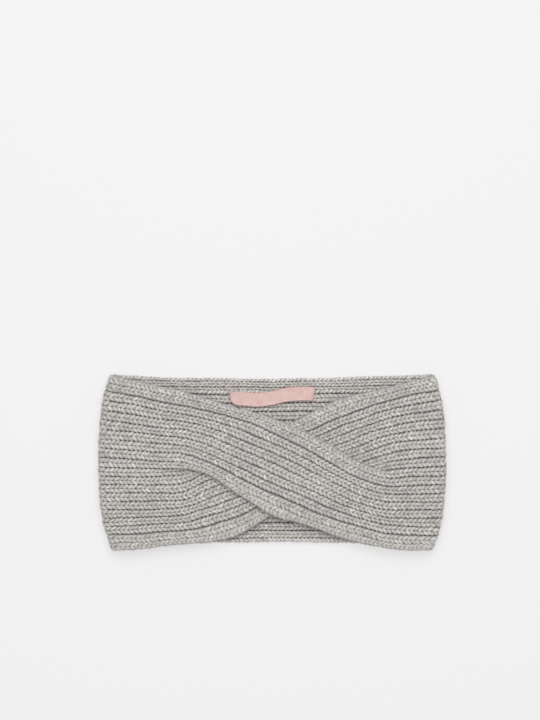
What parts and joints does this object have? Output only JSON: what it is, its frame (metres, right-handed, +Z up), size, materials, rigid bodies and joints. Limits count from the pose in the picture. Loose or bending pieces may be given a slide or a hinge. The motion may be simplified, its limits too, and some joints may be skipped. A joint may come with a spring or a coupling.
{
  "type": "knitted crossover headband",
  "caption": "Rib-knitted head and ear warmer lying flat: a loop whose front divides into two strips that cross, with a bare ribbon label inside the back.",
  "frame": {"origin": "on the surface that the headband lies on, under the middle of the band", "axes": "+X along the band to the right as it lies, +Y across it towards the edge that the label is under, +Z up from the surface, out of the crossed front"},
  "size_m": [0.225, 0.1127, 0.0154],
  "materials": {
    "knit": "matte wool-blend rib knit, light grey heather",
    "label_ribbon": "dull pink woven ribbon with a slight sheen"
  },
  "bodies": {
    "root": {"back_panel": "knit", "over_strip": "knit", "under_strip": "knit", "label": "label_ribbon"}
  },
  "joints": []
}
